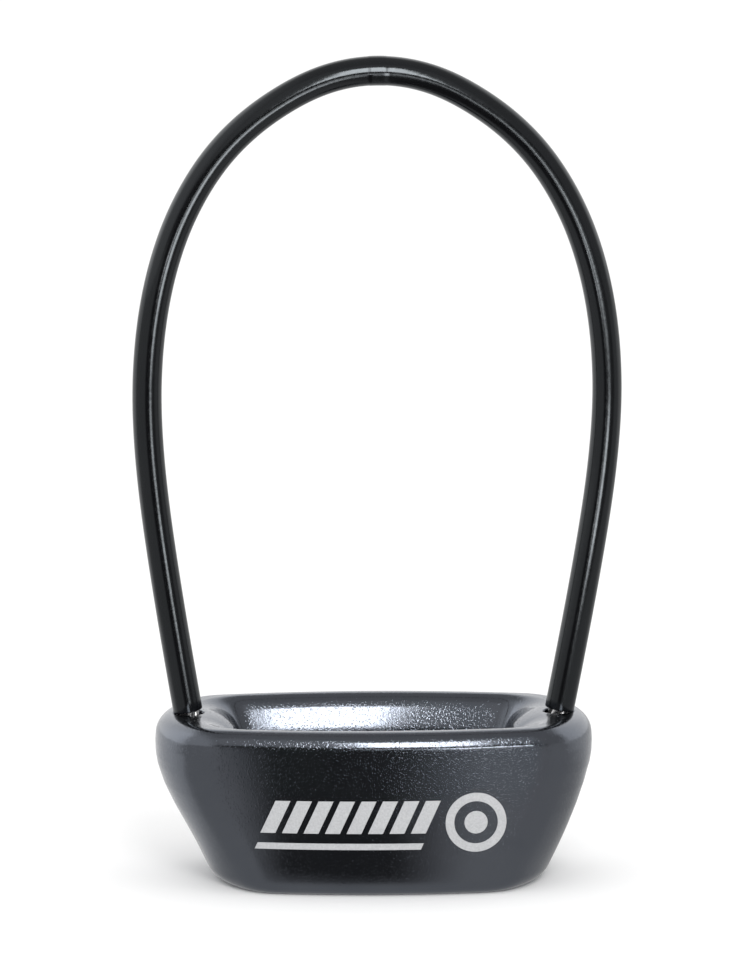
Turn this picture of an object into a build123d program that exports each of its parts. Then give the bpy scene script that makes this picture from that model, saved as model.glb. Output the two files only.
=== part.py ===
from build123d import *
import math
import os

# Tube belay device, millimetres.
# Frame: origin at the centre of the flat foot of the tube, +X along the tube's
# long side, -Y the printed front, +Z up through the rope slots to the keeper loop.

# ---- forged tube ----
BODY_H = 23.0            # foot to rim
HALF_W = [(0, 22.70), (2.2, 23.75), (5, 25.10), (7.8, 26.47), (10.6, 27.80), (13.4, 28.95), (16.2, 29.80),
          (17.6, 30.03), (19.2, 30.10), (21.2, 29.98), (23, 29.90)]
HALF_D = [(0, 14.55), (5, 14.98), (10, 15.35), (15, 15.63), (20, 15.80), (23, 15.85)]
BOW_R_TOP, BOW_R_FOOT = 112.0, 87.0     # plan radius of the front and back walls
END_R_TOP, END_R_FOOT = 17.5, 17.0      # plan radius of the two ends
CORNER_TOP, CORNER_FOOT = 8.5, 7.2      # plan radius of the four corners
WALL_TOP, WALL_FOOT = 6.10, 4.70       # front and back wall thickness, before the lips
SLOT_END_TOP, SLOT_END_FOOT = 19.0, 17.7   # slot end face from the centre plane
BOSS_R_TOP, BOSS_R_FOOT = 13.0, 60.0       # plan radius of the cable bosses
SLOT_CORNER_TOP, SLOT_CORNER_FOOT = 3.4, 4.5
RIM_DRIFT, FOOT_DRIFT = -0.51, 0.15   # the forging isn't quite square: its rim stands left of its foot
LAND = 0.35              # least width of the flat crest between the lips
# lips: (horizontal, vertical) radii at the long walls and at the ends
RIM_OUT_WALL, RIM_OUT_END = (2.15, 2.3), (2.7, 2.7)
RIM_IN_WALL, RIM_IN_END = (3.60, 9.5), (4.9, 3.4)
FOOT_OUT_WALL, FOOT_OUT_END = (1.8, 2.0), (1.6, 1.9)
FOOT_IN_WALL, FOOT_IN_END = (2.3, 3.2), (1.6, 2.2)

# ---- web between the two rope slots ----
WEB_T = 5.0
WEB_TOP = 15.0
WEB_FOOT = 1.6
WEB_TOP_R, WEB_FOOT_R = 2.2, 1.5

# ---- keeper cable: 3 mm wire rope in a 4 mm plastic jacket ----
CABLE_D = 4.06
CORE_D = 3.0
CORE_GAP = 0.01          # the jacket's bore is this much larger all round
HOLE_D = 4.40
HOLE_DEPTH = 14.0        # drilled blind, along the cable
MOUTH_CHAMFER = 0.25
FERRULE_D = 4.36         # swaged on the bare rope end and staked in the hole
FERRULE_LENGTH = 10.0
FERRULE_START = 2.0      # below the mouth, along the cable
JACKET_LIFT = 0.30       # the jacket's cut end stands this far above the rim
FLEX_TOP = 50.0          # the roots bend between the rim and this height

# centreline control points of the legs (x, z), from the hole mouths to the crown; the springy cable
# stands a little to one side, so the legs aren't mirror images
LEFT_LEG = [(-26.04, 23.00), (-29.42, 42.45), (-31.84, 62.22), (-31.48, 76.29), (-28.92, 88.35),
            (-24.46, 97.87), (-18.64, 104.90), (-10.67, 110.38), (-3.55, 112.80)]
RIGHT_LEG = [(25.04, 23.00), (28.86, 42.45), (31.72, 62.22), (31.54, 76.29), (29.06, 88.35),
             (24.64, 97.87), (18.86, 104.90), (10.95, 110.38), (3.87, 112.80)]

N_RING = 72


def lerp_table(table, z):
    if z <= table[0][0]:
        return table[0][1]
    for (z0, v0), (z1, v1) in zip(table, table[1:]):
        if z <= z1:
            return v0 + (v1 - v0) * (z - z0) / (z1 - z0)
    return table[-1][1]


def mix(a, b, t):
    return a + (b - a) * t


def smooth(t):
    t = max(0.0, min(1.0, t))
    return t * t * (3 - 2 * t)


def circle_pair(p, rp, q, rq, guess):
    """The point at distance rp from p and rq from q that lies nearest guess."""
    dx, dy = q[0] - p[0], q[1] - p[1]
    d = math.hypot(dx, dy)
    a = (rp * rp - rq * rq + d * d) / (2 * d)
    h = math.sqrt(max(0.0, rp * rp - a * a))
    mx, my = p[0] + a * dx / d, p[1] + a * dy / d
    found = [(mx - h * dy / d, my + h * dx / d), (mx + h * dy / d, my - h * dx / d)]
    return min(found, key=lambda c: math.hypot(c[0] - guess[0], c[1] - guess[1]))


def quarter(half_w, half_d, bow_r, end_r, corner_r, boss):
    """Arcs of a quarter outline from (half_w, 0) round to (0, half_d): (centre, radius, start, end angle)."""
    bow_c = (0.0, half_d - bow_r)
    if boss:
        end_c = (half_w + end_r, 0.0)
        c = circle_pair(bow_c, bow_r - corner_r, end_c, end_r + corner_r, (half_w - corner_r, half_d - corner_r))
        a_end = math.atan2(c[1] - end_c[1], c[0] - end_c[0])
        a0 = math.atan2(end_c[1] - c[1], end_c[0] - c[0])
    else:
        end_c = (half_w - end_r, 0.0)
        c = circle_pair(bow_c, bow_r - corner_r, end_c, end_r - corner_r, (half_w - corner_r, half_d - corner_r))
        a_end = math.atan2(c[1] - end_c[1], c[0] - end_c[0])
        a0 = a_end
    a1 = math.atan2(c[1] - bow_c[1], c[0] - bow_c[0])
    first = (end_c, end_r, math.pi if boss else 0.0, a_end)
    return [first, (c, corner_r, a0, a1), (bow_c, bow_r, a1, math.pi / 2)]


def ring(half_w, half_d, bow_r, end_r, corner_r, boss, n=N_RING):
    """n points round the outline, each (x, y, nx, ny), spaced evenly in each arc's share."""
    arcs = quarter(half_w, half_d, bow_r, end_r, corner_r, boss)
    share = [4, 7, 7]                       # steps of each arc in a quarter
    pts = []
    for (c, r, a, b), k in zip(arcs, share):
        for i in range(k):
            t = a + (b - a) * i / k
            x, y = c[0] + r * math.cos(t), c[1] + r * math.sin(t)
            s = -1.0 if (boss and r == end_r and c == arcs[0][0]) else 1.0
            pts.append((x, y, s * math.cos(t), s * math.sin(t)))
    c, r, a, b = arcs[-1]
    top = (0.0, c[1] + r, 0.0, 1.0)
    q1 = pts
    q2 = [(-x, y, -nx, ny) for x, y, nx, ny in reversed(pts[1:])]
    half = q1 + [top] + q2 + [(-pts[0][0], 0.0, -pts[0][2], 0.0)]
    lower = [(x, -y, nx, -ny) for x, y, nx, ny in reversed(half[1:-1])]
    return half + lower


def endness(nx, ny):
    """0 on the long walls, 1 at the ends."""
    return smooth((abs(math.atan2(nx, abs(ny) + 1e-9)) / (math.pi / 2) - 0.25) / 0.65)


def outer_ring(z):
    t = z / BODY_H
    return ring(lerp_table(HALF_W, z), lerp_table(HALF_D, z), mix(BOW_R_FOOT, BOW_R_TOP, t),
                mix(END_R_FOOT, END_R_TOP, t), mix(CORNER_FOOT, CORNER_TOP, t), False)


def inner_ring(z):
    t = z / BODY_H
    return ring(mix(SLOT_END_FOOT, SLOT_END_TOP, t), lerp_table(HALF_D, z) - mix(WALL_FOOT, WALL_TOP, t),
                mix(BOW_R_FOOT, BOW_R_TOP, t) - WALL_TOP,
                math.exp(mix(math.log(BOSS_R_FOOT), math.log(BOSS_R_TOP), t ** 0.7)),
                mix(SLOT_CORNER_FOOT, SLOT_CORNER_TOP, t), True)


def depth_inside(x, y, fence):
    """How far (x, y) lies inside a closed anticlockwise outline."""
    best = None
    for (ax, ay, _), (bx, by, _) in zip(fence, fence[1:] + fence[:1]):
        dx, dy = bx - ax, by - ay
        t = max(0.0, min(1.0, ((x - ax) * dx + (y - ay) * dy) / (dx * dx + dy * dy)))
        px, py = x - ax - t * dx, y - ay - t * dy
        d = math.hypot(px, py)
        if best is None or d < best[0]:
            best = (d, 1.0 if dx * py - dy * px > 0 else -1.0)
    return best[0] * best[1]


def lip_room(x, y, nx, ny, fence, land):
    """How far a lip may open out from (x, y) and still leave a land inside the fence."""
    lo, hi = 0.0, 8.0
    for _ in range(24):
        mid = (lo + hi) / 2
        if depth_inside(x + nx * mid, y + ny * mid, fence) > land:
            lo = mid
        else:
            hi = mid
    return lo


def lesser(a, b, soft=0.25):
    return (a + b - math.sqrt((a - b) ** 2 + soft * soft)) / 2


def sections(ring_at, foot_wall, foot_end, rim_wall, rim_end, side, walls=9, lips=6, fences=None):
    """Rings from foot to rim. side is -1 where a lip draws the ring in, and +1 where it opens it out.
    fences are the outer skin's foot and rim crests, which the inner skin's lips stay clear of."""
    rings = []
    room_foot = room_rim = None
    if fences:
        room_foot = [lip_room(*p, fences[0], LAND) for p in ring_at(0.9)]
        room_rim = [lip_room(*p, fences[1], LAND) for p in ring_at(BODY_H - 1.5)]

    def lip_sizes(wall, end, i, base):
        e = endness(base[i][2], base[i][3])
        return mix(wall[0], end[0], e), mix(wall[1], end[1], e)

    base0 = ring_at(0.0)
    n = len(base0)
    # each point's own lip heights, so that every ring follows the lip
    for k in range(lips):                                  # foot lip
        a = math.pi / 2 * (1 - k / lips)
        row = []
        for i in range(n):
            rh, rv = lip_sizes(foot_wall, foot_end, i, base0)
            if room_foot:
                rh = lesser(rh, room_foot[i])
            z = rv * (1 - math.sin(a))
            x, y, nx, ny = ring_at(z)[i]
            d = side * rh * (1 - math.cos(a))
            row.append((x + nx * d, y + ny * d, z))
        rings.append(row)
    for k in range(walls + 1):                             # wall
        f = k / walls
        row = []
        for i in range(n):
            z0 = lip_sizes(foot_wall, foot_end, i, base0)[1]
            z1 = BODY_H - lip_sizes(rim_wall, rim_end, i, base0)[1]
            z = mix(z0, z1, f)
            x, y, nx, ny = ring_at(z)[i]
            row.append((x, y, z))
        rings.append(row)
    for k in range(1, lips + 1):                           # rim lip
        a = math.pi / 2 * k / lips
        row = []
        for i in range(n):
            rh, rv = lip_sizes(rim_wall, rim_end, i, base0)
            if room_rim:
                rh = lesser(rh, room_rim[i])
            z = BODY_H - rv * (1 - math.sin(a))
            x, y, nx, ny = ring_at(z)[i]
            d = side * rh * (1 - math.cos(a))
            row.append((x + nx * d, y + ny * d, z))
        rings.append(row)
    return rings


def drift(z):
    """How far the tube's middle stands to the right of the loop's at height z."""
    return RIM_DRIFT + (FOOT_DRIFT - RIM_DRIFT) * (1 - smooth((z - 4.0) / 12.0))


def ring_wire(row):
    return Wire([Edge.make_spline([Vector(x + drift(z), y, z) for x, y, z in row], periodic=True)])


def loft_skin(rings):
    """An open skin through the rings, with its foot wire and its rim wire."""
    wires = [ring_wire(row) for row in rings]
    skin = Shell.make_loft(wires, ruled=False)
    return skin, wires[0], wires[-1]


def make_tube():
    outside = sections(outer_ring, FOOT_OUT_WALL, FOOT_OUT_END, RIM_OUT_WALL, RIM_OUT_END, -1)
    inside = sections(inner_ring, FOOT_IN_WALL, FOOT_IN_END, RIM_IN_WALL, RIM_IN_END, +1,
                      fences=(outside[0], outside[-1]))
    outer, outer_foot, outer_rim = loft_skin(outside)
    inner, inner_foot, inner_rim = loft_skin(inside)
    lands = [Face(outer_foot, [inner_foot]), Face(outer_rim, [inner_rim])]
    return Solid(Shell(list(outer.faces()) + list(inner.faces()) + lands))


def make_web():
    """The bar between the rope slots, rounded along its top and foot."""
    z0, z1, half, reach = WEB_FOOT, WEB_TOP, WEB_T / 2, lerp_table(HALF_D, WEB_FOOT) - WALL_FOOT + 1.8
    bar = Pos(0, 0, (z0 + z1) / 2) * Box(WEB_T, 2 * reach, z1 - z0)
    along = bar.edges().filter_by(Axis.Y)
    bar = fillet([e for e in along if e.center().Z > z1 - 0.01], WEB_TOP_R)
    along = [e for e in bar.edges().filter_by(Axis.Y) if abs(e.center().Z - z0) < 0.01]
    return fillet(along, WEB_FOOT_R)


def leg_plane(side, along=0.0):
    """Plane at the mouth of a cable hole, or further along the cable, with its normal up the cable."""
    (x0, z0), (x1, z1) = (LEFT_LEG if side < 0 else RIGHT_LEG)[:2]
    n = Vector(x1 - x0, 0, z1 - z0).normalized()
    o = Vector(x0, 0, z0) + n * along
    return Plane(origin=o, x_dir=(0, 1, 0), z_dir=n)


def rod(side, start, length, radius, bore=0.0):
    solid = leg_plane(side, start) * Cylinder(radius, length, align=(Align.CENTER, Align.CENTER, Align.MIN))
    if bore:
        solid -= leg_plane(side, start - 1) * Cylinder(bore, length + 2, align=(Align.CENTER, Align.CENTER, Align.MIN))
    return solid


def make_hole(side):
    r = HOLE_D / 2
    solid = rod(side, -HOLE_DEPTH, HOLE_DEPTH + 4, r)
    cone = leg_plane(side, -MOUTH_CHAMFER) * Cone(r, r + 2.0, 2.0, align=(Align.CENTER, Align.CENTER, Align.MIN))
    return solid + cone


def cable_path():
    pts = [(x, 0, z) for x, z in LEFT_LEG + RIGHT_LEG[::-1]]
    radii = []
    for p, q, r in zip(pts, pts[1:], pts[2:]):
        a, b = Vector(*q) - Vector(*p), Vector(*r) - Vector(*q)
        turn = math.radians(a.get_angle(b))
        radii.append(0.45 * min(a.length, b.length) / math.tan(turn / 2))
    print("bend radii", [round(v, 1) for v in radii])
    n = leg_plane(-1).z_dir
    pts[0] = tuple(Vector(*pts[0]) + n * JACKET_LIFT)
    m = leg_plane(1).z_dir
    pts[-1] = tuple(Vector(*pts[-1]) + m * JACKET_LIFT)
    return FilletPolyline(*pts, radius=radii)


def swept(path, radius, bore=0.0):
    line = path.wire() if hasattr(path, "wire") else path
    start = Plane(origin=line @ 0, z_dir=line % 0)
    disc = start * Circle(radius)
    if bore:
        disc -= start * Circle(bore)
    solid = sweep(disc, path=line)
    area = math.pi * (radius ** 2 - bore ** 2)
    print("swept volume", round(solid.volume, 2), "section times length", round(area * line.length, 2))
    return solid


def cut_at(solid, z, above):
    slab = Pos(0, 0, z + (100 if above else -100)) * Box(200, 40, 200)
    return solid & slab


def one_side(solid, side):
    return solid & (Pos(side * 50, 0, 50) * Box(100, 60, 300))


def build():
    body = make_tube()
    print("tube", body.is_valid, round(body.volume, 1))
    body = body + make_web()
    print("with web", body.is_valid, round(body.volume, 1))
    for side in (-1, 1):
        body = body - make_hole(side)
    print("drilled", body.is_valid, round(body.volume, 1))
    nodes = {"tube_body": body}

    path = cable_path()
    core = swept(path, CORE_D / 2)
    jacket = swept(path, CABLE_D / 2, CORE_D / 2 + CORE_GAP)
    nodes["loop_core"] = cut_at(core, FLEX_TOP, True)
    nodes["loop_jacket"] = cut_at(jacket, FLEX_TOP, True)
    for side, name in ((-1, "left"), (1, "right")):
        nodes[name + "_flex_core"] = one_side(cut_at(core, FLEX_TOP, False), side)
        nodes[name + "_flex_jacket"] = one_side(cut_at(jacket, FLEX_TOP, False), side)
        end = -FERRULE_START - FERRULE_LENGTH
        nodes[name + "_rope_end"] = rod(side, end, JACKET_LIFT - end, CORE_D / 2)
        nodes[name + "_ferrule"] = rod(side, end - 0.5, FERRULE_LENGTH + 0.5, FERRULE_D / 2, CORE_D / 2 + CORE_GAP)
    return nodes


if __name__ == "__main__":
    os.makedirs("parts", exist_ok=True)
    for name, solid in build().items():
        bb = solid.bounding_box()
        print(name, solid.is_valid, len(solid.solids()), round(solid.volume, 2),
              [round(v, 2) for v in (bb.min.X, bb.min.Y, bb.min.Z, bb.max.X, bb.max.Y, bb.max.Z)])
        export_step(solid, "parts/%s.step" % name)
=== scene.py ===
import math
import bpy
import numpy as np
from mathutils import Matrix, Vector

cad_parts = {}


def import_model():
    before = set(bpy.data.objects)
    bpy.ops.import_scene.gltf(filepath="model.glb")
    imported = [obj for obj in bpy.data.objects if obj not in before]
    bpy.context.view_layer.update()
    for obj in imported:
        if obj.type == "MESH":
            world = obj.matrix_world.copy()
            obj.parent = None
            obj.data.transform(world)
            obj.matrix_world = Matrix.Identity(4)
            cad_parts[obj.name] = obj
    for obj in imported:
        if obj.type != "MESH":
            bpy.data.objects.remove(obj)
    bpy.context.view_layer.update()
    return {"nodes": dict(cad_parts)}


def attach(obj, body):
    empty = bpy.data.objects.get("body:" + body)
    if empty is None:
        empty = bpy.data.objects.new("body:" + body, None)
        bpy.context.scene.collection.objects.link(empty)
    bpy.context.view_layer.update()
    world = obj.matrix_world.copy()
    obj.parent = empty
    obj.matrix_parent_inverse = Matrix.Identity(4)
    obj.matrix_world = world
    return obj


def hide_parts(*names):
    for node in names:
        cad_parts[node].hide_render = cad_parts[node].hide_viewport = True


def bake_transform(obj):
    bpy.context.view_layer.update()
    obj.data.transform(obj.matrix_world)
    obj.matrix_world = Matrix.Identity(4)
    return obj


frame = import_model()
MM = 0.001

# ---------------------------------------------------------------- camera
EYE_AZIMUTH, EYE_ELEVATION, EYE_DISTANCE = -1.5, 11.4, 4.0
EYE_AIM = Vector((-0.00052, 0.0, 0.05552))
PX_PER_M = 7270.0

a, e = math.radians(EYE_AZIMUTH), math.radians(EYE_ELEVATION)
back = Vector((math.sin(a) * math.cos(e), -math.cos(a) * math.cos(e), math.sin(e)))
camera = bpy.data.objects.new("camera", bpy.data.cameras.new("camera"))
bpy.context.collection.objects.link(camera)
camera.location = EYE_AIM + back * EYE_DISTANCE
camera.rotation_euler = back.to_track_quat("Z", "Y").to_euler()
camera.data.sensor_width = 36.0
camera.data.lens = PX_PER_M * EYE_DISTANCE * 36.0 / 960
camera.data.clip_start, camera.data.clip_end = 0.02, 30.0
bpy.context.scene.camera = camera


# ---------------------------------------------------------------- helpers
def new_mesh(name, verts, faces, normals=None):
    """A mesh object from arrays of points and of quads or triangles (-1 pads a triangle)."""
    faces = np.asarray(faces)
    count = np.where(faces[:, -1] < 0, faces.shape[1] - 1, faces.shape[1])
    loops = faces.ravel()
    loops = loops[loops >= 0]
    mesh = bpy.data.meshes.new(name)
    mesh.vertices.add(len(verts))
    mesh.vertices.foreach_set("co", np.asarray(verts, np.float32).ravel())
    mesh.loops.add(len(loops))
    mesh.loops.foreach_set("vertex_index", loops.astype(np.int32))
    mesh.polygons.add(len(count))
    mesh.polygons.foreach_set("loop_start", np.concatenate([[0], np.cumsum(count)[:-1]]).astype(np.int32))
    mesh.update(calc_edges=True)
    mesh.validate()
    mesh.polygons.foreach_set("use_smooth", np.ones(len(mesh.polygons), bool))
    if normals is not None:
        mesh.normals_split_custom_set_from_vertices(np.asarray(normals, np.float32))
    obj = bpy.data.objects.new(name, mesh)
    bpy.context.collection.objects.link(obj)
    return obj


def mix(p, q, t):
    return p + (q - p) * t


def smooth01(t):
    t = np.clip(t, 0.0, 1.0)
    return t * t * (3 - 2 * t)


def join_round(p, q, r):
    """Intersection of two solids given by signed distance, its edge rounded to radius r."""
    return np.minimum(np.maximum(p, q), -r) + np.hypot(np.maximum(p + r, 0), np.maximum(q + r, 0))


def fuse_round(p, q, r):
    """Union of two solids, the corner between them filled to radius r."""
    return np.maximum(np.minimum(p, q), r) - np.hypot(np.maximum(r - p, 0), np.maximum(r - q, 0))


def lip(side, end, rh, rv):
    """Where a wall (signed distance side) meets an end plane (end), rounded to rh along the plane and rv along the wall."""
    s = rv / rh
    u, v = np.maximum(side * s + rv, 0), np.maximum(end + rv, 0)
    length = np.hypot(u, v)
    f = np.minimum(np.maximum(side * s, end), -rv) + length
    slope = np.where(length > 1e-9, np.hypot(s * u, v) / np.maximum(length, 1e-9), 1.0)
    return f / slope


def lesser(p, q, soft=0.25):
    return (p + q - np.sqrt((p - q) ** 2 + soft * soft)) / 2


# ---------------------------------------------------------------- the forged tube, in millimetres
BODY_H = 23.0
HALF_W = [(0, 22.70), (2.2, 23.75), (5, 25.10), (7.8, 26.47), (10.6, 27.80), (13.4, 28.95), (16.2, 29.80),
          (17.6, 30.03), (19.2, 30.10), (21.2, 29.98), (23, 29.90)]
HALF_D = [(0, 14.55), (5, 14.98), (10, 15.35), (15, 15.63), (20, 15.80), (23, 15.85)]
BOW_FOOT, BOW_TOP = 87.0, 112.0
WALL_TOP, WALL_FOOT = 6.10, 4.70
LAND = 0.35
RIM_DRIFT, FOOT_DRIFT = -0.51, 0.15
RIM_OUT_WALL, RIM_OUT_END = (2.15, 2.3), (2.7, 2.7)
RIM_IN_WALL, RIM_IN_END = (3.60, 9.5), (4.9, 3.4)
FOOT_OUT_WALL, FOOT_OUT_END = (1.8, 2.0), (1.6, 1.9)
FOOT_IN_WALL, FOOT_IN_END = (2.3, 3.2), (1.6, 2.2)
WEB_T, WEB_TOP, WEB_FOOT = 5.0, 15.0, 1.6
HOLE_R, MOUTH_R, HOLE_DEPTH = 2.2, 2.07, 14.0

# centreline control points of the legs (x, z), in millimetres, from the hole mouths to the crown
LEFT_LEG = [(-26.04, 23.00), (-29.42, 42.45), (-31.84, 62.22), (-31.48, 76.29), (-28.92, 88.35),
            (-24.46, 97.87), (-18.64, 104.90), (-10.67, 110.38), (-3.55, 112.80)]
RIGHT_LEG = [(25.04, 23.00), (28.86, 42.45), (31.72, 62.22), (31.54, 76.29), (29.06, 88.35),
             (24.64, 97.87), (18.86, 104.90), (10.95, 110.38), (3.87, 112.80)]


def corner(half_w, half_d, bow_r, end_r, corner_r, boss):
    """Centres of the end arc, corner arc and bow arc of a quarter outline, and the angles where they meet."""
    bow_y = half_d - bow_r
    cx = half_w + end_r if boss else half_w - end_r
    rb = bow_r - corner_r
    re = end_r + corner_r if boss else end_r - corner_r
    d = np.hypot(cx, bow_y)
    a = (rb * rb - re * re + d * d) / (2 * d)
    h = np.sqrt(rb * rb - a * a)
    mx, my = a * cx / d, bow_y - a * bow_y / d
    p = (mx + h * bow_y / d, my + h * cx / d)
    q = (mx - h * bow_y / d, my - h * cx / d)
    gx, gy = half_w - corner_r, half_d - corner_r
    near = np.hypot(p[0] - gx, p[1] - gy) < np.hypot(q[0] - gx, q[1] - gy)
    fx, fy = np.where(near, p[0], q[0]), np.where(near, p[1], q[1])
    end_turn = np.arctan2(fy, fx - cx)
    start = np.arctan2(-fy, cx - fx) if boss else end_turn
    return cx, fx, fy, bow_y, end_turn, start, np.arctan2(fy - bow_y, fx)


def outline(x, y, half_w, half_d, bow_r, end_r, corner_r, boss, foot):
    """Distance to an outline of end arc, corner arc and bow arc, and how much each point belongs to the end."""
    cx, fx, fy, bow_y, end_turn, start, bow_turn = corner(half_w, half_d, bow_r, end_r, corner_r, boss)
    t1 = np.arctan2(y, x - cx)
    t2 = np.arctan2(y - bow_y, x)
    t3 = np.arctan2(y - fy, x - fx)
    r1, r2, r3 = np.hypot(x - cx, y), np.hypot(x, y - bow_y), np.hypot(x - fx, y - fy)
    on_bow = t2 >= bow_turn
    on_end = (t1 >= end_turn) if boss else (t1 <= end_turn)
    f = np.where(on_bow, r2 - bow_r, np.where(on_end, (end_r - r1) if boss else (r1 - end_r), r3 - corner_r))
    # the same point of the outline at the foot, and the way it faces there
    _, _, _, _, foot_end, foot_start, foot_bow = corner(*foot, boss)
    u1 = (math.pi - t1) / (math.pi - end_turn) if boss else t1 / end_turn
    u2 = (t2 - bow_turn) / (math.pi / 2 - bow_turn)
    u3 = (t3 - start) / (bow_turn - start)
    g1 = (math.pi - foot_end) * u1 if boss else foot_end * u1
    g = np.where(on_bow, mix(foot_bow, math.pi / 2, u2), np.where(on_end, g1, mix(foot_start, foot_bow, np.clip(u3, 0, 1))))
    return f, smooth01(((math.pi / 2 - np.abs(g)) / (math.pi / 2) - 0.25) / 0.65)


def skins(x, y, z):
    t = np.clip(z / BODY_H, 0.0, 1.0)
    w, d = np.interp(z, *zip(*HALF_W)), np.interp(z, *zip(*HALF_D))
    bow = mix(BOW_FOOT, BOW_TOP, t)
    out, out_end = outline(x, y, w, d, bow, mix(17.0, 17.5, t), mix(7.2, 8.5, t), False,
                           (HALF_W[0][1], HALF_D[0][1], BOW_FOOT, 17.0, 7.2))
    br = np.exp(mix(math.log(60.0), math.log(13.0), t ** 0.7))
    cav, cav_end = outline(x, y, mix(17.7, 19.0, t), d - mix(WALL_FOOT, WALL_TOP, t), bow - WALL_TOP, br,
                           mix(4.5, 3.4, t), True,
                           (17.7, HALF_D[0][1] - WALL_FOOT, BOW_FOOT - WALL_TOP, 60.0, 4.5))
    return out, out_end, -cav, cav_end


def two(wall, end, share):
    return mix(wall[0], end[0], share), mix(wall[1], end[1], share)


def tube_field(px, py, pz):
    """Signed distance (nearly) to the whole forging."""
    y, z = np.abs(py), pz
    drift = RIM_DRIFT + (FOOT_DRIFT - RIM_DRIFT) * (1 - smooth01((z - 4.0) / 12.0))
    x = np.abs(px - drift)
    out, oe, inn, ie = skins(x, y, z)
    thick = -(out + inn)
    outer = inner = None
    rim = z - BODY_H
    for end, ow, oend, iw, iend in ((rim, RIM_OUT_WALL, RIM_OUT_END, RIM_IN_WALL, RIM_IN_END),
                                    (-z, FOOT_OUT_WALL, FOOT_OUT_END, FOOT_IN_WALL, FOOT_IN_END)):
        oh, ov = two(ow, oend, oe)
        ih, iv = two(iw, iend, ie)
        room = thick - oh - LAND
        a = lip(out, end, oh, ov)
        if end is rim:
            # the bosses' tops dip to a crease where they meet the slot's end faces
            dip = 1.3 * ie
            ih, iv = mix(RIM_IN_WALL[0], 6.2, ie), mix(RIM_IN_WALL[1], 5.4, ie)
            ih = np.maximum(lesser(ih - dip, room), 0.4) + dip
            b = lip(inn - dip, end, ih, iv)
            b = np.where(ie > 0.02, join_round(b, inn, 0.35 * ie + 0.001), b)
        else:
            b = lip(inn, end, np.maximum(lesser(ih, room), 0.4), iv)
        outer = a if outer is None else np.maximum(outer, a)
        inner = b if inner is None else np.maximum(inner, b)
    x = np.abs(px)
    web = np.maximum(join_round(x - WEB_T / 2, z - WEB_TOP, 2.2), join_round(x - WEB_T / 2, WEB_FOOT - z, 1.5))
    f = np.maximum(outer, fuse_round(inner, web, 2.4))
    # cable holes
    for leg in (LEFT_LEG, RIGHT_LEG):
        (x0, z0), (x1, z1) = leg[:2]
        run = math.hypot(x1 - x0, z1 - z0)
        ux, uz = (x1 - x0) / run, (z1 - z0) / run
        along = (px - x0) * ux + (z - z0) * uz
        across = np.hypot((px - x0) * uz - (z - z0) * ux, y)
        # the mouth is staked in a little over the ferrule
        hole = np.maximum(across - mix(HOLE_R, MOUTH_R, smooth01((along + 1.9) / 0.8)), -(along + HOLE_DEPTH))
        f = join_round(f, -hole, 0.12)
    return f


def gradient(field, p, h=0.01):
    g = np.empty_like(p)
    for k in range(3):
        q = p.copy(); q[:, k] += h
        r = p.copy(); r[:, k] -= h
        g[:, k] = (field(q[:, 0], q[:, 1], q[:, 2]) - field(r[:, 0], r[:, 1], r[:, 2])) / (2 * h)
    return g


def onto(field, p, steps, cap):
    for _ in range(steps):
        f = field(p[:, 0], p[:, 1], p[:, 2])
        g = gradient(field, p)
        step = -(f / np.maximum((g * g).sum(1), 1e-6))[:, None] * g
        size = np.linalg.norm(step, axis=1, keepdims=True)
        p = p + step * np.minimum(1.0, cap / np.maximum(size, 1e-12))
    return p


def surface(field, low, high, pitch):
    """Quads over the zero level of a field: one point in each cell that the surface crosses, drawn onto it."""
    axes = [np.arange(lo - 1.5 * pitch, hi + 2.5 * pitch, pitch) for lo, hi in zip(low, high)]
    nx, ny, nz = (len(v) for v in axes)
    f = np.empty((nx, ny, nz))
    gy, gz = np.meshgrid(axes[1], axes[2], indexing="ij")
    for i, xv in enumerate(axes[0]):
        f[i] = field(np.full_like(gy, xv), gy, gz)
    total = np.zeros((nx - 1, ny - 1, nz - 1, 3))
    count = np.zeros((nx - 1, ny - 1, nz - 1))
    quads = []
    base = np.stack(np.meshgrid(np.arange(nx), np.arange(ny), np.arange(nz), indexing="ij"), -1).astype(float)
    edges = []
    for k in range(3):
        lo = [slice(None)] * 3; lo[k] = slice(None, -1)
        hi = [slice(None)] * 3; hi[k] = slice(1, None)
        p, q = f[tuple(lo)], f[tuple(hi)]
        cross = (p < 0) != (q < 0)
        t = np.where(cross, p / np.where(cross, p - q, 1.0), 0.0)
        pos = base[tuple(lo)].copy()
        pos[..., k] += t
        pos *= cross[..., None]
        o1, o2 = [m for m in range(3) if m != k]
        for s1 in (0, 1):
            for s2 in (0, 1):
                src, dst = [slice(None)] * 3, [slice(None)] * 3
                for o, s in ((o1, s1), (o2, s2)):
                    src[o] = slice(s, s - 1 if s - 1 else None)
                    if s == 1:
                        src[o] = slice(1, None)
                    else:
                        src[o] = slice(0, -1)
                total[tuple(dst)] += pos[tuple(src)]
                count[tuple(dst)] += cross[tuple(src)]
        edges.append((k, o1, o2, cross, p < 0))
    used = count > 0
    index = np.full(count.shape, -1, np.int64)
    index[used] = np.arange(used.sum())
    points = total[used] / count[used][:, None]
    points = points * pitch + np.array([v[0] for v in axes])
    for k, o1, o2, cross, inside in edges:
        where = np.argwhere(cross)
        flag = inside[cross]
        ok = (where[:, o1] > 0) & (where[:, o2] > 0)
        where, flag = where[ok], flag[ok]
        corner = []
        for s1, s2 in ((-1, -1), (0, -1), (0, 0), (-1, 0)):
            w = where.copy()
            w[:, o1] += s1
            w[:, o2] += s2
            corner.append(index[w[:, 0], w[:, 1], w[:, 2]])
        quad = np.stack(corner, 1)
        turn = flag if k != 1 else ~flag
        quads.append(np.where(turn[:, None], quad, quad[:, ::-1]))
    return points, np.concatenate(quads)


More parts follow.
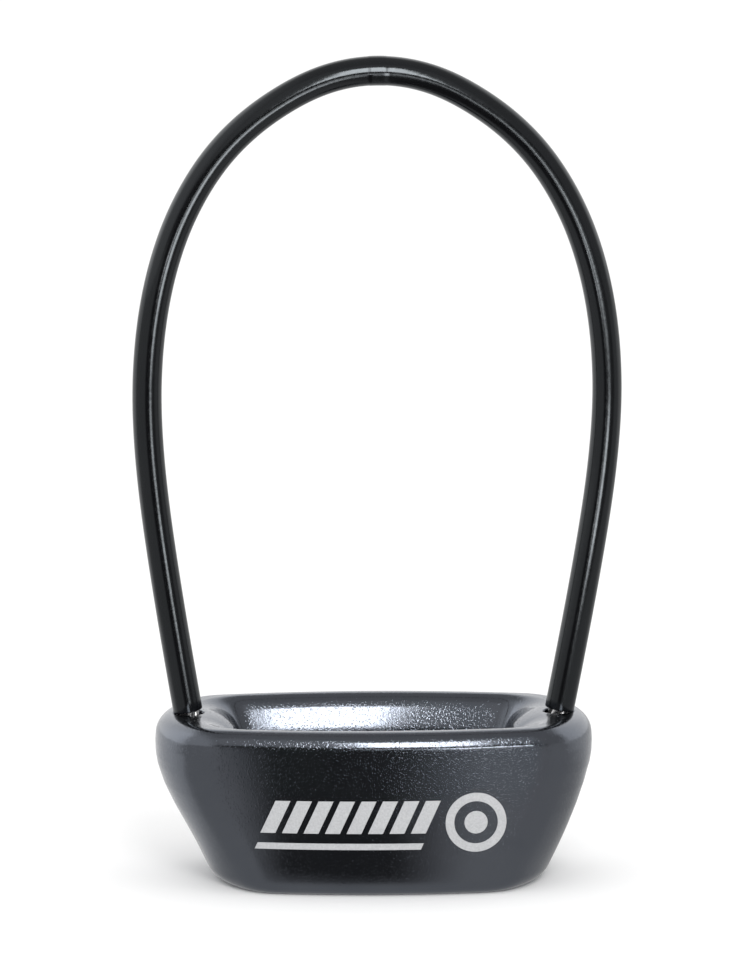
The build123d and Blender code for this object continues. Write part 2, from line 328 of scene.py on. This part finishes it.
def relaxed(field, points, quads, rounds, pitch):
    n = len(points)
    ends = np.concatenate([quads[:, [0, 1]], quads[:, [1, 2]], quads[:, [2, 3]], quads[:, [3, 0]]])
    ends = np.concatenate([ends, ends[:, ::-1]])
    weight = np.bincount(ends[:, 0], minlength=n)[:, None]
    for _ in range(rounds):
        mean = np.stack([np.bincount(ends[:, 0], points[ends[:, 1], k], n) for k in range(3)], 1) / weight
        points = onto(field, points + 0.5 * (mean - points), 1, 0.5 * pitch)
    return onto(field, points, 2, 0.2 * pitch)


PITCH = 0.36
points, quads = surface(tube_field, (-30.2, -16.2, 0.0), (30.2, 16.2, 23.0), PITCH)
points = onto(tube_field, points, 3, 0.5 * PITCH)
points = relaxed(tube_field, points, quads, 4, PITCH)
normals = gradient(tube_field, points, 0.02)
normals /= np.linalg.norm(normals, axis=1, keepdims=True)
body = new_mesh("forged_tube", points * MM, quads, normals)
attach(body, "tube")
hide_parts("tube_body")
print("body", len(points), "points", len(quads), "faces")

# ---------------------------------------------------------------- the cable
CABLE_D, CORE_D, JACKET_LIFT = 4.06, 3.0, 0.30

# the sprung loop is turned a little about its own axis above the rope's stiff roots
TWIST = 0.061
route = []
for x, z in LEFT_LEG + RIGHT_LEG[::-1]:
    y = TWIST * x * float(smooth01((z - 42.0) / 46.0))
    route.append(Vector((x, y, z - 0.2016 * y)))
UP = {-1: (route[1] - route[0]).normalized(), 1: (route[-2] - route[-1]).normalized()}
route[0] = route[0] + UP[-1] * JACKET_LIFT
route[-1] = route[-1] + UP[1] * JACKET_LIFT
line = bpy.data.curves.new("route", "CURVE")
line.dimensions = "3D"
spline = line.splines.new("NURBS")
spline.points.add(len(route) - 1)
for point, co in zip(spline.points, route):
    point.co = (*(co * MM), 1.0)
spline.order_u = 3
spline.use_endpoint_u = True
spline.resolution_u = 26
carrier = bpy.data.objects.new("route", line)
bpy.context.collection.objects.link(carrier)
bpy.context.view_layer.update()
traced = bpy.data.meshes.new_from_object(carrier.evaluated_get(bpy.context.evaluated_depsgraph_get()))
PATH = np.array([v.co for v in traced.vertices], float)
bpy.data.objects.remove(carrier)
bpy.data.meshes.remove(traced)
if PATH[0, 0] > 0:
    PATH = PATH[::-1]


def frames(path):
    """Tangent and the two cross axes along a path that stays near the plane y = 0."""
    t = np.gradient(path, axis=0)
    t /= np.linalg.norm(t, axis=1, keepdims=True)
    n = np.cross(np.array([0.0, 1.0, 0.0]), t)
    n /= np.linalg.norm(n, axis=1, keepdims=True)
    return t, n, np.cross(t, n)


def lengths(path):
    return np.concatenate([[0], np.cumsum(np.linalg.norm(np.diff(path, axis=0), axis=1))])


def skin(name, rings):
    """A closed surface through rings of points, each (n, 3); the first ring follows the last one."""
    m, n = len(rings), len(rings[0])
    verts = np.concatenate(rings)
    i = np.arange(m)[:, None]
    j = np.arange(n)[None, :]
    i2, j2 = (i + 1) % m, (j + 1) % n
    faces = np.stack([(i * n + j), (i * n + j2), (i2 * n + j2), (i2 * n + j)], -1).reshape(-1, 4)
    return verts, faces


def circle(centre, n_axis, b_axis, radius, segments):
    th = np.linspace(0, 2 * math.pi, segments, endpoint=False)
    return centre + (np.cos(th)[:, None] * n_axis + np.sin(th)[:, None] * b_axis) * radius


def jacket():
    r, bore, edge, seg = CABLE_D / 2 * MM, (CORE_D / 2 + 0.03) * MM, 0.16 * MM, 56
    t, n, b = frames(PATH)
    s = lengths(PATH)
    rings = []
    steps = 5

    def ring(i, radius, shift=0.0):
        rings.append(circle(PATH[i] + t[i] * shift, n[i], b[i], radius, seg))

    # left cut end, outer wall, right cut end, bore back again
    ring(0, bore)
    ring(0, (bore + r - edge) / 2)
    for k in range(steps + 1):
        a = math.pi / 2 * k / steps
        ring(0, r - edge + edge * math.sin(a), edge * (1 - math.cos(a)))
    middle = s[-1] / 2
    for i in range(1, len(PATH) - 1):
        # the coating is a hair thicker over the joint at the crown
        d = abs(s[i] - middle) / MM
        lift = 0.035 * MM * float(1 - smooth01((d - 1.0) / 0.25))
        ring(i, r + lift)
    last = len(PATH) - 1
    for k in range(steps + 1):
        a = math.pi / 2 * (1 - k / steps)
        ring(last, r - edge + edge * math.sin(a), -edge * (1 - math.cos(a)))
    ring(last, (bore + r - edge) / 2)
    ring(last, bore)
    for i in range(last - 4, 3, -4):
        ring(i, bore)
    return skin("cable_jacket", rings)


verts, faces = jacket()
cable = new_mesh("cable_jacket", verts, faces)
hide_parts("loop_jacket", "left_flex_jacket", "right_flex_jacket")


def rope():
    """Seven strands: a straight one and six laid round it, from one ferrule over the crown to the other."""
    down_left = [PATH[0] - np.array(UP[-1]) * MM * d for d in np.arange(12.3, 0.0, -0.5)]
    down_right = [PATH[-1] - np.array(UP[1]) * MM * d for d in np.arange(0.5, 12.4, 0.5)]
    whole = np.concatenate([down_left, PATH, down_right])
    t, n, b = frames(whole)
    s = lengths(whole)
    strand, lay, seg = 0.49 * MM, 19.0 * MM, 12
    all_v, all_f, start = [], [], 0
    for k in range(7):
        if k == 0:
            centre = whole
            rad = strand
        else:
            th = 2 * math.pi * (s / lay + (k - 1) / 6)
            centre = whole + (np.cos(th)[:, None] * n + np.sin(th)[:, None] * b) * 1.0 * MM
            rad = strand
        tt = np.gradient(centre, axis=0)
        tt /= np.linalg.norm(tt, axis=1, keepdims=True)
        u = np.cross(np.array([0.0, 1.0, 0.0]), tt)
        u /= np.linalg.norm(u, axis=1, keepdims=True)
        v = np.cross(tt, u)
        th = np.linspace(0, 2 * math.pi, seg, endpoint=False)
        rings = centre[:, None, :] + rad * (np.cos(th)[None, :, None] * u[:, None, :] + np.sin(th)[None, :, None] * v[:, None, :])
        m = len(centre)
        pts = np.concatenate([rings.reshape(-1, 3), centre[:1], centre[-1:]])
        i = np.arange(m - 1)[:, None]
        j = np.arange(seg)[None, :]
        j2 = (j + 1) % seg
        f = np.stack([i * seg + j, i * seg + j2, (i + 1) * seg + j2, (i + 1) * seg + j], -1).reshape(-1, 4)
        jj = np.arange(seg)
        cap0 = np.stack([(jj + 1) % seg, jj, np.full(seg, m * seg), np.full(seg, -1)], 1)
        cap1 = np.stack([(m - 1) * seg + jj, (m - 1) * seg + (jj + 1) % seg, np.full(seg, m * seg + 1), np.full(seg, -1)], 1)
        f = np.concatenate([f, cap0, cap1])
        f = np.where(f >= 0, f + start, -1)
        all_v.append(pts); all_f.append(f)
        start += len(pts)
    return np.concatenate(all_v), np.concatenate(all_f)


verts, faces = rope()
wire = new_mesh("wire_rope", verts, faces)
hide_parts("loop_core", "left_flex_core", "right_flex_core", "left_rope_end", "right_rope_end")

for piece in (cable, wire):
    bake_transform(piece)


# ---------------------------------------------------------------- the print on the front wall
def front_y(x, z):
    """The front wall's surface at x, z, in millimetres."""
    d = np.interp(z, *zip(*HALF_D))
    x = x - RIM_DRIFT - (FOOT_DRIFT - RIM_DRIFT) * (1 - smooth01((z - 4.0) / 12.0))
    bow = mix(BOW_FOOT, BOW_TOP, z / BODY_H)
    return -(d - bow + np.sqrt(bow ** 2 - x ** 2))


def decal(grid_x, grid_z, wrap):
    """A thin closed plate over the front wall; grids are (m, n), wrapped along n if it is a ring."""
    m, n = grid_x.shape
    y = front_y(grid_x, grid_z)
    top = np.stack([grid_x, y - 0.03, grid_z], -1).reshape(-1, 3)
    low = np.stack([grid_x, y + 0.05, grid_z], -1).reshape(-1, 3)
    i = np.arange(m - 1)[:, None]
    j = np.arange(n if wrap else n - 1)[None, :]
    j2 = (j + 1) % n
    f = np.stack([i * n + j, i * n + j2, (i + 1) * n + j2, (i + 1) * n + j], -1).reshape(-1, 4)
    k = m * n
    parts = [f, f[:, ::-1] + k]
    idx = np.arange(k).reshape(m, n)

    def wall(edge):
        e2 = np.stack([edge[:-1], edge[1:], edge[1:] + k, edge[:-1] + k], 1)
        parts.append(e2[:, ::-1])

    if wrap:
        wall(np.append(idx[0], idx[0, 0]))
        wall(np.append(idx[-1], idx[-1, 0])[::-1])
    else:
        wall(idx[0]); wall(idx[-1][::-1]); wall(idx[:, 0][::-1]); wall(idx[:, -1])
    return np.concatenate([top, low]), np.concatenate(parts)


def bar(x0, x1, z0, z1, shear):
    u, v = np.meshgrid(np.linspace(0, 1, 7), np.linspace(0, 1, 4))
    z = z0 + (z1 - z0) * v
    return decal(x0 + (x1 - x0) * u + shear * (z - (z0 + z1) / 2), z, False)


def ring_mark(cx, cz, r0, r1):
    th, rr = np.meshgrid(np.linspace(0, 2 * math.pi, 64, endpoint=False), np.linspace(r0, r1, 4))
    return decal(cx + rr * np.cos(th), cz + rr * np.sin(th), True)


marks = []
for k in range(8):
    x0 = -15.4 + k * 2.95
    marks.append(bar(x0, x0 + 2.05, 9.0, 13.6, 0.45))
marks.append(bar(-17.0, 5.8, 6.7, 7.6, 0.45))
marks.append(ring_mark(13.2, 10.4, 3.0, 4.2))
marks.append(ring_mark(13.2, 10.4, 0.02, 1.6))
all_v, all_f, start = [], [], 0
for v, f in marks:
    all_v.append(v); all_f.append(f + start)
    start += len(v)
mark = new_mesh("front_print", np.concatenate(all_v) * MM, np.concatenate(all_f))
mark.data.polygons.foreach_set("use_smooth", np.zeros(len(mark.data.polygons), bool))
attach(mark, "tube")


# ---------------------------------------------------------------- materials
def material(name):
    m = bpy.data.materials.new(name)
    m.use_nodes = True
    nodes = m.node_tree.nodes
    shader = next(n for n in nodes if n.type == "BSDF_PRINCIPLED")
    return m, nodes, m.node_tree.links, shader


def noise(nodes, links, coords, scale, detail=3.0, rough=0.5):
    n = nodes.new("ShaderNodeTexNoise")
    n.inputs["Scale"].default_value = scale
    n.inputs["Detail"].default_value = detail
    n.inputs["Roughness"].default_value = rough
    links.new(coords, n.inputs["Vector"])
    return n.outputs["Fac"]


def ramp(nodes, links, value, low, high, a, b):
    n = nodes.new("ShaderNodeMapRange")
    n.inputs["From Min"].default_value, n.inputs["From Max"].default_value = low, high
    n.inputs["To Min"].default_value, n.inputs["To Max"].default_value = a, b
    links.new(value, n.inputs["Value"])
    return n.outputs["Result"]


def bump(nodes, links, height, strength, distance, onto=None):
    n = nodes.new("ShaderNodeBump")
    n.inputs["Strength"].default_value = strength
    n.inputs["Distance"].default_value = distance
    links.new(height, n.inputs["Height"])
    if onto is not None:
        links.new(onto, n.inputs["Normal"])
    return n.outputs["Normal"]


def tinted(nodes, links, fac, dark, light):
    n = nodes.new("ShaderNodeMix")
    n.data_type = "RGBA"
    links.new(fac, n.inputs["Factor"])
    n.inputs["A"].default_value = (*dark, 1)
    n.inputs["B"].default_value = (*light, 1)
    return n.outputs["Result"]


def anodised():
    m, nodes, links, shader = material("dark_anodised_aluminium")
    co = nodes.new("ShaderNodeTexCoord").outputs["Object"]
    grain = noise(nodes, links, co, 3900.0, 1.0, 0.6)
    tumble = noise(nodes, links, co, 2200.0, 2.0, 0.5)
    cloud = noise(nodes, links, co, 110.0, 3.0, 0.5)
    links.new(tinted(nodes, links, ramp(nodes, links, cloud, 0.3, 0.7, 0, 1), (0.158, 0.172, 0.200), (0.178, 0.192, 0.220)),
              shader.inputs["Base Color"])
    shader.inputs["Metallic"].default_value = 1.0
    links.new(ramp(nodes, links, tumble, 0.3, 0.7, 0.11, 0.16), shader.inputs["Roughness"])
    n1 = bump(nodes, links, tumble, 0.5, 0.000012)
    pits = ramp(nodes, links, grain, 0.56, 0.72, 0, 1)
    links.new(bump(nodes, links, pits, 1.0, 0.0000120, n1), shader.inputs["Normal"])
    return m


def black_plastic():
    m, nodes, links, shader = material("black_cable_plastic")
    co = nodes.new("ShaderNodeTexCoord").outputs["Object"]
    fine = noise(nodes, links, co, 1500.0, 2.0, 0.5)
    cloud = noise(nodes, links, co, 160.0, 2.0, 0.5)
    links.new(tinted(nodes, links, cloud, (0.0014, 0.0014, 0.0018), (0.0028, 0.0028, 0.0034)), shader.inputs["Base Color"])
    links.new(ramp(nodes, links, fine, 0.3, 0.7, 0.10, 0.17), shader.inputs["Roughness"])
    shader.inputs["IOR"].default_value = 1.60
    shader.inputs["Specular Tint"].default_value = (0.88, 0.95, 1.0, 1)
    links.new(bump(nodes, links, fine, 0.20, 0.00003), shader.inputs["Normal"])
    return m


def steel(name, base, rough):
    m, nodes, links, shader = material(name)
    co = nodes.new("ShaderNodeTexCoord").outputs["Object"]
    fine = noise(nodes, links, co, 2600.0, 3.0, 0.6)
    links.new(tinted(nodes, links, fine, tuple(v * 0.8 for v in base), base), shader.inputs["Base Color"])
    shader.inputs["Metallic"].default_value = 1.0
    links.new(ramp(nodes, links, fine, 0.3, 0.7, rough * 0.8, rough * 1.3), shader.inputs["Roughness"])
    links.new(bump(nodes, links, fine, 0.15, 0.00002), shader.inputs["Normal"])
    return m


def print_ink():
    m, nodes, links, shader = material("pale_grey_print")
    co = nodes.new("ShaderNodeTexCoord").outputs["Object"]
    fine = noise(nodes, links, co, 4200.0, 3.0, 0.65)
    links.new(tinted(nodes, links, ramp(nodes, links, fine, 0.35, 0.65, 0, 1), (0.34, 0.345, 0.355), (0.43, 0.435, 0.445)),
              shader.inputs["Base Color"])
    shader.inputs["Roughness"].default_value = 0.55
    links.new(bump(nodes, links, fine, 0.2, 0.00001), shader.inputs["Normal"])
    return m


def give(obj, m):
    obj.data.materials.clear()
    obj.data.materials.append(m)


give(body, anodised())
give(cable, black_plastic())
give(wire, steel("wire_rope_steel", (0.60, 0.60, 0.60), 0.28))
give(mark, print_ink())
ferrule = steel("ferrule_steel", (0.62, 0.62, 0.63), 0.35)
for name in ("left_ferrule", "right_ferrule"):
    node = frame["nodes"][name]
    for k in range(max(1, len(node.material_slots))):
        if node.material_slots:
            node.material_slots[k].material = ferrule
        else:
            node.data.materials.append(ferrule)


# ---------------------------------------------------------------- floor, world and lights
def calc(nodes, links, op, *values, clamp=False):
    """A Math node; values are sockets or numbers."""
    n = nodes.new("ShaderNodeMath")
    n.operation = op
    n.use_clamp = clamp
    for socket, value in zip(n.inputs, values):
        if isinstance(value, (int, float)):
            socket.default_value = value
        else:
            links.new(value, socket)
    return n.outputs[0]


def rise(nodes, links, value, low, high):
    """0 below low, 1 above high, smooth between."""
    n = nodes.new("ShaderNodeMapRange")
    n.interpolation_type = "SMOOTHSTEP"
    n.inputs["From Min"].default_value, n.inputs["From Max"].default_value = low, high
    links.new(value, n.inputs["Value"])
    return n.outputs["Result"]


def band(nodes, links, value, a, b, c, d):
    """Rises from a to b and falls from c to d."""
    up = rise(nodes, links, value, a, b)
    down = calc(nodes, links, "SUBTRACT", 1.0, rise(nodes, links, value, c, d))
    return calc(nodes, links, "MULTIPLY", up, down)


def floor():
    size = 6.0
    obj = new_mesh("floor", np.array([(-size, -size, -5e-5), (size, -size, -5e-5), (size, size, -5e-5), (-size, size, -5e-5)], float),
                   np.array([[0, 1, 2, 3]]))
    m, nodes, links, shader = material("pale_floor_painted_reflections")
    nodes.remove(shader)
    output = next(n for n in nodes if n.type == "OUTPUT_MATERIAL")
    pale = nodes.new("ShaderNodeBsdfDiffuse")
    pale.inputs["Color"].default_value = (0.88, 0.88, 0.88, 1)
    # painted reflections: the camera sees an evenly pale floor, but glossy rays see it glow, though it is no lamp,
    # with a painted dark wedge in front of the piece, painted darker and brighter zones around it and painted bright
    # bands to the right that paint the cable's highlight
    place = nodes.new("ShaderNodeSeparateXYZ")
    links.new(nodes.new("ShaderNodeTexCoord").outputs["Object"], place.inputs[0])
    x, y = place.outputs[0], place.outputs[1]
    ahead = calc(nodes, links, "SUBTRACT", calc(nodes, links, "MULTIPLY", y, -1.0), 0.016)
    reach = calc(nodes, links, "MAXIMUM", ahead, 0.0)
    left = calc(nodes, links, "ADD", calc(nodes, links, "MULTIPLY", reach, -0.39), -0.0165)
    right = calc(nodes, links, "ADD", calc(nodes, links, "MULTIPLY", reach, 0.20), 0.0075)
    soft = calc(nodes, links, "ADD", calc(nodes, links, "MULTIPLY", reach, 0.12), 0.004)
    from_left = calc(nodes, links, "DIVIDE", calc(nodes, links, "SUBTRACT", x, left), soft)
    from_right = calc(nodes, links, "DIVIDE", calc(nodes, links, "SUBTRACT", right, x), soft)
    # painted dark reflection: a wedge of floor in front of the piece, widening with distance, is dimmed for glossy
    # rays so the front faces mirror it as shade
    dark = calc(nodes, links, "MULTIPLY", rise(nodes, links, from_left, -1.0, 1.0),
                rise(nodes, links, from_right, -1.6, 1.6))
    dark = calc(nodes, links, "MULTIPLY", dark, rise(nodes, links, ahead, -0.002, 0.007))
    bearing = calc(nodes, links, "ARCTAN2", x, calc(nodes, links, "MULTIPLY", y, -1.0))
    far = rise(nodes, links, ahead, 0.085, 0.125)
    # painted highlight: a bright band of floor ahead and to the right, seen only in reflections, that paints the thin
    # highlight along the cable's legs
    painted_highlight_strip = calc(nodes, links, "MULTIPLY", band(nodes, links, bearing, 0.13, 0.26, 0.43, 0.53),
                 band(nodes, links, ahead, 0.16, 0.22, 0.52, 0.72))
    # a second painted highlight band, nearly straight ahead, for the cable's left shoulder
    painted_highlight_lane = calc(nodes, links, "MULTIPLY", band(nodes, links, bearing, -0.07, 0.02, 0.07, 0.16),
                band(nodes, links, ahead, 0.34, 0.38, 0.44, 0.50))
    painted_highlight_strip = calc(nodes, links, "ADD", painted_highlight_strip, painted_highlight_lane)
    # painted shade in reflections: the far floor off to the right is dimmed for glossy rays
    rim = calc(nodes, links, "MULTIPLY", band(nodes, links, bearing, 0.52, 0.68, 0.90, 1.15), far)
    level = calc(nodes, links, "MULTIPLY", 0.42, calc(nodes, links, "SUBTRACT", 1.0,
                 calc(nodes, links, "MULTIPLY", dark, 0.88)))
    level = calc(nodes, links, "MULTIPLY", level, calc(nodes, links, "SUBTRACT", 1.0,
                 calc(nodes, links, "MULTIPLY", rim, 0.65)))
    # painted reflection: the floor behind the piece glows brighter for glossy rays, less so on the right
    side = calc(nodes, links, "SUBTRACT", 0.50, calc(nodes, links, "MULTIPLY", rise(nodes, links, x, -0.01, 0.03), 0.24))
    level = calc(nodes, links, "ADD", level, calc(nodes, links, "MULTIPLY", rise(nodes, links, y, 0.005, 0.07), side))
    # painted reflection: a patch of floor beside the piece's left glows for glossy rays to brighten its left edge
    painted_left_sheen = calc(nodes, links, "MULTIPLY", band(nodes, links, y, -0.010, 0.008, 0.020, 0.060),
                     band(nodes, links, x, -0.14, -0.09, -0.028, -0.015))
    level = calc(nodes, links, "ADD", level, calc(nodes, links, "MULTIPLY", painted_left_sheen, 0.30))
    # the painted highlight bands added to the glow
    level = calc(nodes, links, "ADD", level, calc(nodes, links, "MULTIPLY", painted_highlight_strip, PAINTED_HIGHLIGHT_STRIP))
    # the painted reflection pattern drives an emission that only glossy rays see
    painted_reflection_glow = nodes.new("ShaderNodeEmission")
    links.new(level, painted_reflection_glow.inputs["Strength"])
    seen = nodes.new("ShaderNodeLightPath").outputs["Is Glossy Ray"]
    blend = nodes.new("ShaderNodeMixShader")
    links.new(seen, blend.inputs[0])
    links.new(pale.outputs[0], blend.inputs[1])
    links.new(painted_reflection_glow.outputs[0], blend.inputs[2])
    links.new(blend.outputs[0], output.inputs["Surface"])
    obj.data.materials.append(m)


def world():
    w = bpy.data.worlds.new("studio")
    bpy.context.scene.world = w
    w.use_nodes = True
    nodes, links = w.node_tree.nodes, w.node_tree.links
    for n in list(nodes):
        nodes.remove(n)
    output = nodes.new("ShaderNodeOutputWorld")
    pale, mirrored = nodes.new("ShaderNodeBackground"), nodes.new("ShaderNodeBackground")
    pale.inputs["Color"].default_value = (1, 1, 1, 1)
    pale.inputs["Strength"].default_value = 1.16
    way = nodes.new("ShaderNodeSeparateXYZ")
    links.new(nodes.new("ShaderNodeTexCoord").outputs["Generated"], way.inputs[0])
    x, y, z = way.outputs
    behind = calc(nodes, links, "MULTIPLY", rise(nodes, links, y, 0.05, 0.45),
                  calc(nodes, links, "SUBTRACT", 1.0, rise(nodes, links, z, 0.55, 0.85)))
    front = rise(nodes, links, calc(nodes, links, "MULTIPLY", y, -1.0), 0.75, 0.92)
    low = calc(nodes, links, "SUBTRACT", 1.0, rise(nodes, links, z, 0.08, 0.20))
    leftward = rise(nodes, links, calc(nodes, links, "MULTIPLY", x, -1.0), 0.3, 0.8)
    level = calc(nodes, links, "ADD", 0.42, calc(nodes, links, "MULTIPLY", behind, 0.95))
    level = calc(nodes, links, "ADD", level, calc(nodes, links, "MULTIPLY", leftward, 0.45))
    level = calc(nodes, links, "MULTIPLY", level, calc(nodes, links, "SUBTRACT", 1.0,
                 calc(nodes, links, "MULTIPLY", calc(nodes, links, "MULTIPLY", front, low), 0.80)))
    links.new(level, mirrored.inputs["Strength"])
    seen = nodes.new("ShaderNodeLightPath").outputs["Is Glossy Ray"]
    blend = nodes.new("ShaderNodeMixShader")
    links.new(seen, blend.inputs[0])
    links.new(pale.outputs[0], blend.inputs[1])
    links.new(mirrored.outputs[0], blend.inputs[2])
    links.new(blend.outputs[0], output.inputs["Surface"])


def softbox(name, azimuth, elevation, distance, width, height, radiance, target=(0, 0, 0.03)):
    data = bpy.data.lights.new(name, "AREA")
    data.shape = "RECTANGLE"
    data.size, data.size_y = width, height
    data.energy = radiance * math.pi * width * height
    obj = bpy.data.objects.new(name, data)
    bpy.context.collection.objects.link(obj)
    az, el = math.radians(azimuth), math.radians(elevation)
    away = Vector((math.sin(az) * math.cos(el), -math.cos(az) * math.cos(el), math.sin(el)))
    obj.location = Vector(target) + away * distance
    obj.rotation_euler = away.to_track_quat("Z", "Y").to_euler()
    obj.visible_camera = False
    return obj


# brightness of the painted highlight bands that the floor shows in reflections
PAINTED_HIGHLIGHT_STRIP = 7.6
floor()
world()
softbox("key", 8.0, 25.5, 0.60, 0.165, 0.315, 8.5)
softbox("halo", 8.0, 25.5, 0.62, 0.225, 0.350, 0.9)
softbox("panel", 2.5, 36.0, 0.70, 0.70, 0.62, 0.12)

scene = bpy.context.scene
scene.view_settings.view_transform = "Standard"
scene.view_settings.look = "None"
scene.view_settings.exposure = 0.0
scene.view_settings.gamma = 1.0
